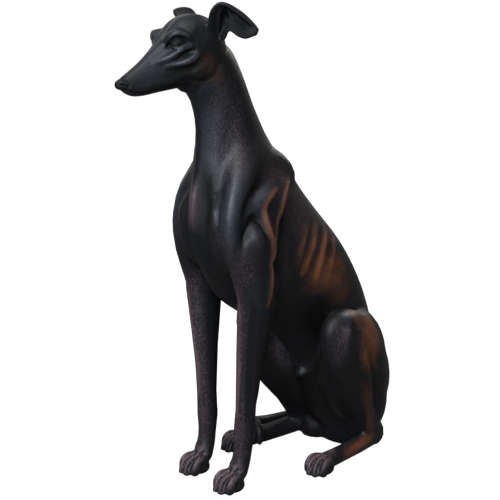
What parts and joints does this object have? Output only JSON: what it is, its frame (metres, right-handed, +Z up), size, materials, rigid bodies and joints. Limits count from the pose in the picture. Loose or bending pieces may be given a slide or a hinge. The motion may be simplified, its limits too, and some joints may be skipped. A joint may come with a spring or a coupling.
{
  "type": "seated greyhound statue",
  "caption": "Cast statue of a greyhound sitting upright, its tail laid along the floor beside it and its ears blown back.",
  "frame": {"origin": "on the floor, below the middle of the figure's box", "axes": "+X to the dog's left, -Y the way the dog looks, +Z up"},
  "size_m": [0.244, 0.5346, 0.7608],
  "materials": {
    "patina": "satin dark bronze paint on cast resin, rubbed back on raised places"
  },
  "bodies": {
    "root": {"greyhound": "patina"}
  },
  "joints": []
}
